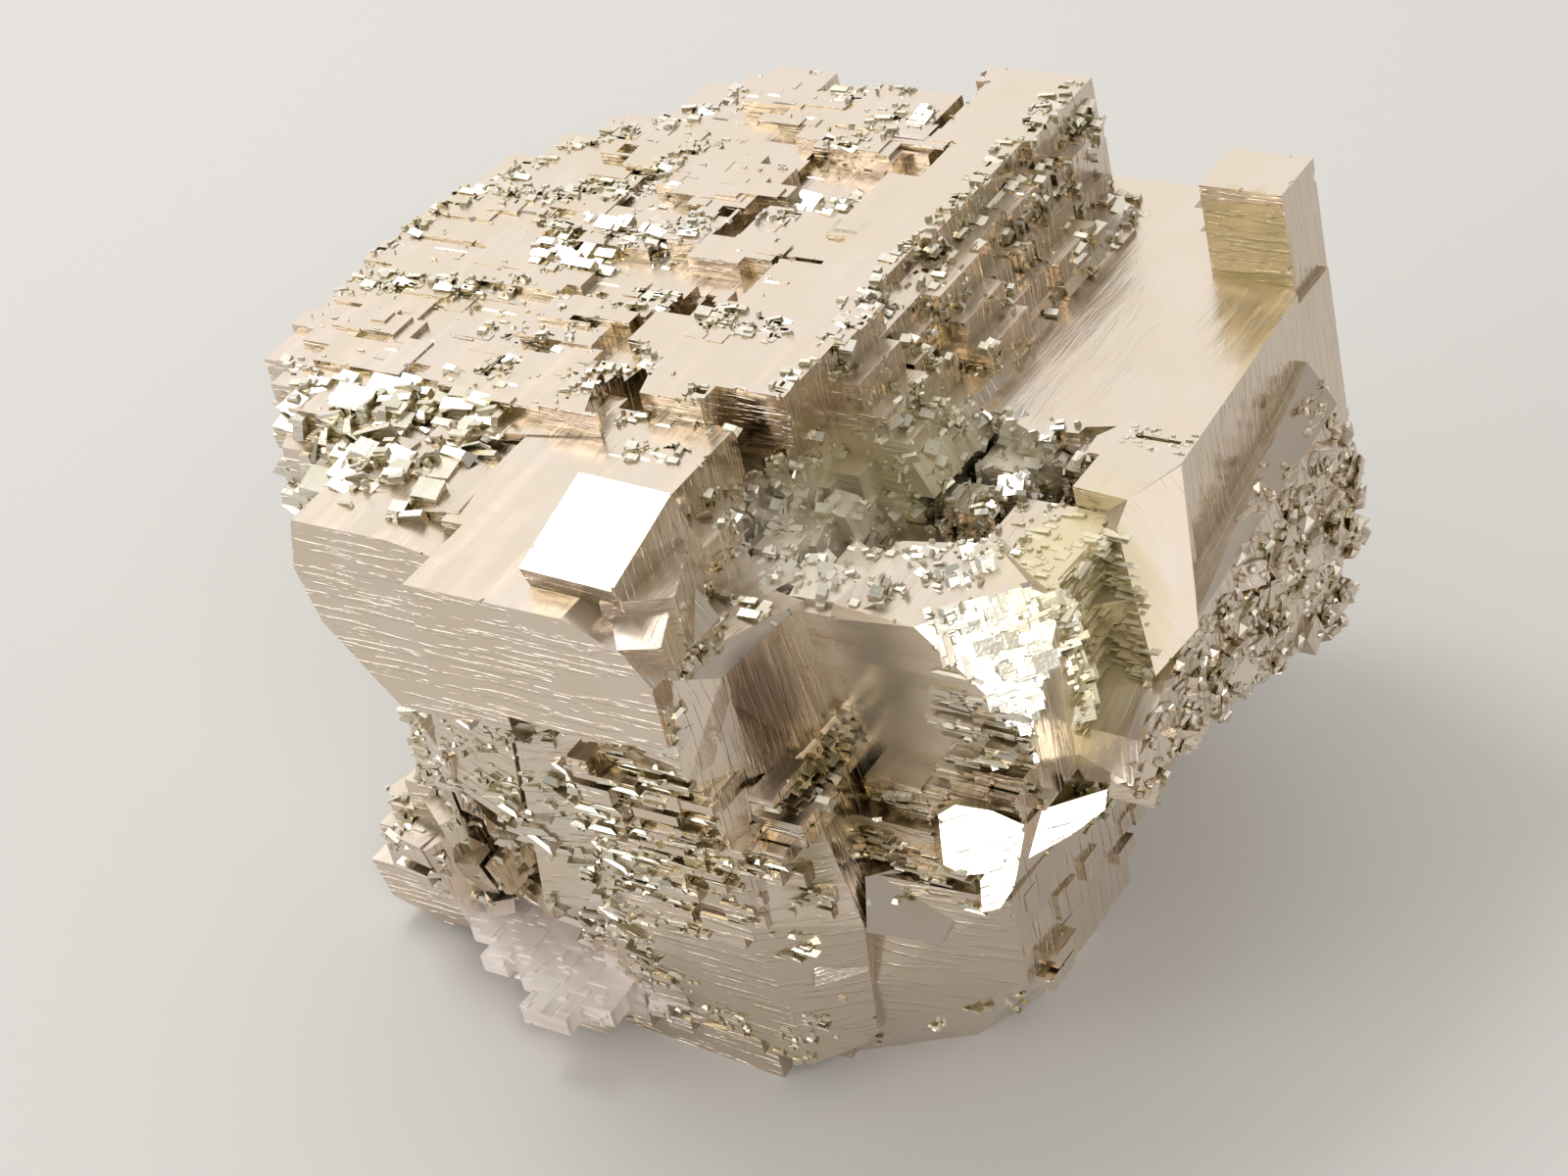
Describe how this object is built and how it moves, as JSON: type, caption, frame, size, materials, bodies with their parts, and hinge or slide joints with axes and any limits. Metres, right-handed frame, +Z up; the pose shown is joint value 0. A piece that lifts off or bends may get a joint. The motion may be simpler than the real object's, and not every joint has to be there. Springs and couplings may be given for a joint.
{
  "type": "pyrite cube cluster",
  "caption": "Hand specimen of intergrown cubic pyrite crystals with stepped, striated faces, a flat-topped shelf, a cut-cornered cube and a rough hollow between them.",
  "frame": {"origin": "bottom centre of the bounding box, on the level it rests on", "axes": "+Z up, -Y towards the front face under the terrace, +X towards the shelf and the cut-cornered cube; the main crystals' own axes lie along X, Y and Z"},
  "size_m": [0.0572, 0.055, 0.0404],
  "materials": {
    "pyrite": "bright natural crystal faces, pale brass, finely striated"
  },
  "bodies": {
    "root": {"pyrite_cluster": "pyrite"}
  },
  "joints": []
}
